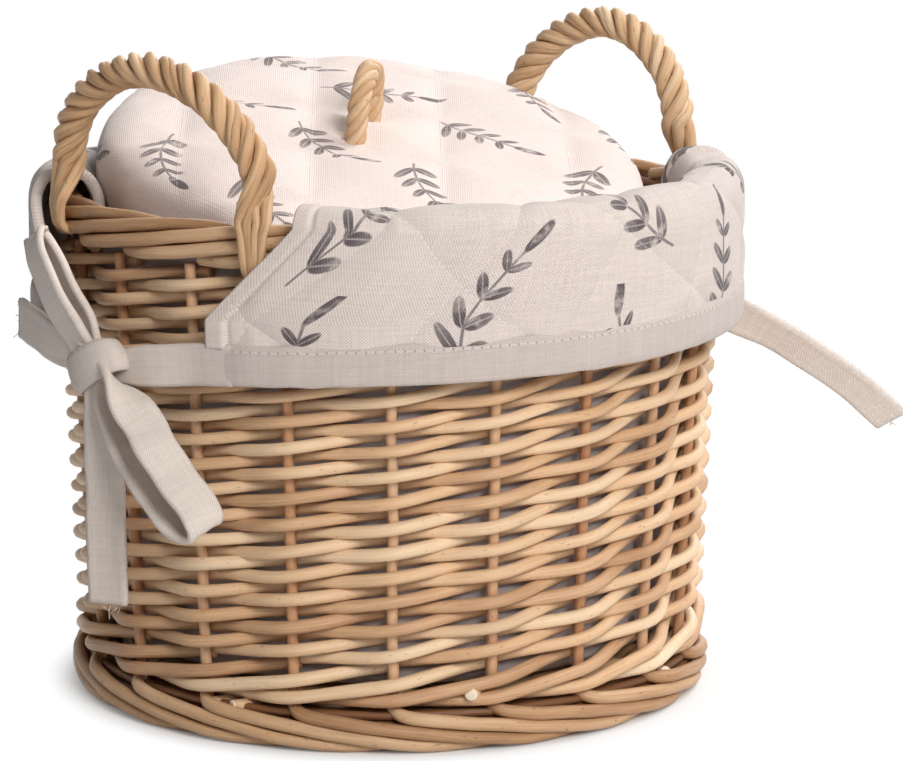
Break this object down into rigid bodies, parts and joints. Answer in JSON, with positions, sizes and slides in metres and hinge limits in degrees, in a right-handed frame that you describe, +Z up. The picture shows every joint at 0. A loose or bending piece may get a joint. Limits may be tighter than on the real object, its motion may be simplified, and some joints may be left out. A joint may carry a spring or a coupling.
{
  "type": "potato basket",
  "caption": "Round woven willow basket with two twisted handles, a lift-out quilted linen liner with folded cuffs and tape ties, and a padded lid with a lifting loop.",
  "frame": {"origin": "on the floor under the basket's axis", "axes": "+Z up; the handles lie on -X and +X and the front cuff faces -Y"},
  "size_m": [0.3337, 0.2536, 0.2342],
  "materials": {
    "willow": "peeled willow, satin",
    "twisted_willow": "twisted strands, satin",
    "linen": "quilted natural linen",
    "binding_tape": "folded linen tape",
    "lid_cloth": "quilted linen, padded",
    "lid_board": "plain board"
  },
  "bodies": {
    "basket": {"stake_01": "willow", "stake_02": "willow", "stake_03": "willow", "stake_04": "willow", "stake_05": "willow", "stake_06": "willow", "stake_07": "willow", "stake_08": "willow", "stake_09": "willow", "stake_10": "willow", "stake_11": "willow", "stake_12": "willow", "stake_13": "willow", "stake_14": "willow", "stake_15": "willow", "stake_16": "willow", "stake_17": "willow", "stake_18": "willow", "stake_19": "willow", "stake_20": "willow", "upsett_wale": "willow", "rand_rod_01": "willow", "rand_rod_02": "willow", "rand_rod_03": "willow", "rand_rod_04": "willow", "rand_rod_05": "willow", "rand_rod_06": "willow", "rand_rod_07": "willow", "rand_rod_08": "willow", "rand_rod_09": "willow", "rand_rod_10": "willow", "rand_rod_11": "willow", "rand_rod_12": "willow", "rand_rod_13": "willow", "rand_rod_14": "willow", "rand_rod_15": "willow", "rand_rod_16": "willow", "rand_rod_17": "willow", "rand_rod_18": "willow", "rand_rod_19": "willow", "rand_rod_20": "willow", "foot_border": "willow", "rim_border": "willow", "base_sticks": "willow", "base_weave": "willow", "handle_right": "twisted_willow", "handle_left": "twisted_willow"},
    "liner": {"liner_bag": "linen", "cuff_front": "linen", "binding_front": "binding_tape", "cuff_back": "linen", "binding_back": "binding_tape", "tie_left_front": "binding_tape", "tie_left_back": "binding_tape", "tie_right_front": "binding_tape", "tie_right_back": "binding_tape"},
    "lid": {"lid_pad": "lid_cloth", "lid_core": "lid_board", "lid_base_cloth": "lid_cloth", "lid_handle": "twisted_willow"}
  },
  "joints": [
    {"name": "liner_lift", "type": "slide", "parent": "basket", "child": "liner", "axis": [0, 0, 1], "range_m": [0, 0.22]},
    {"name": "lid_lift", "type": "slide", "parent": "liner", "child": "lid", "axis": [0, 0, 1], "range_m": [0, 0.16]}
  ]
}
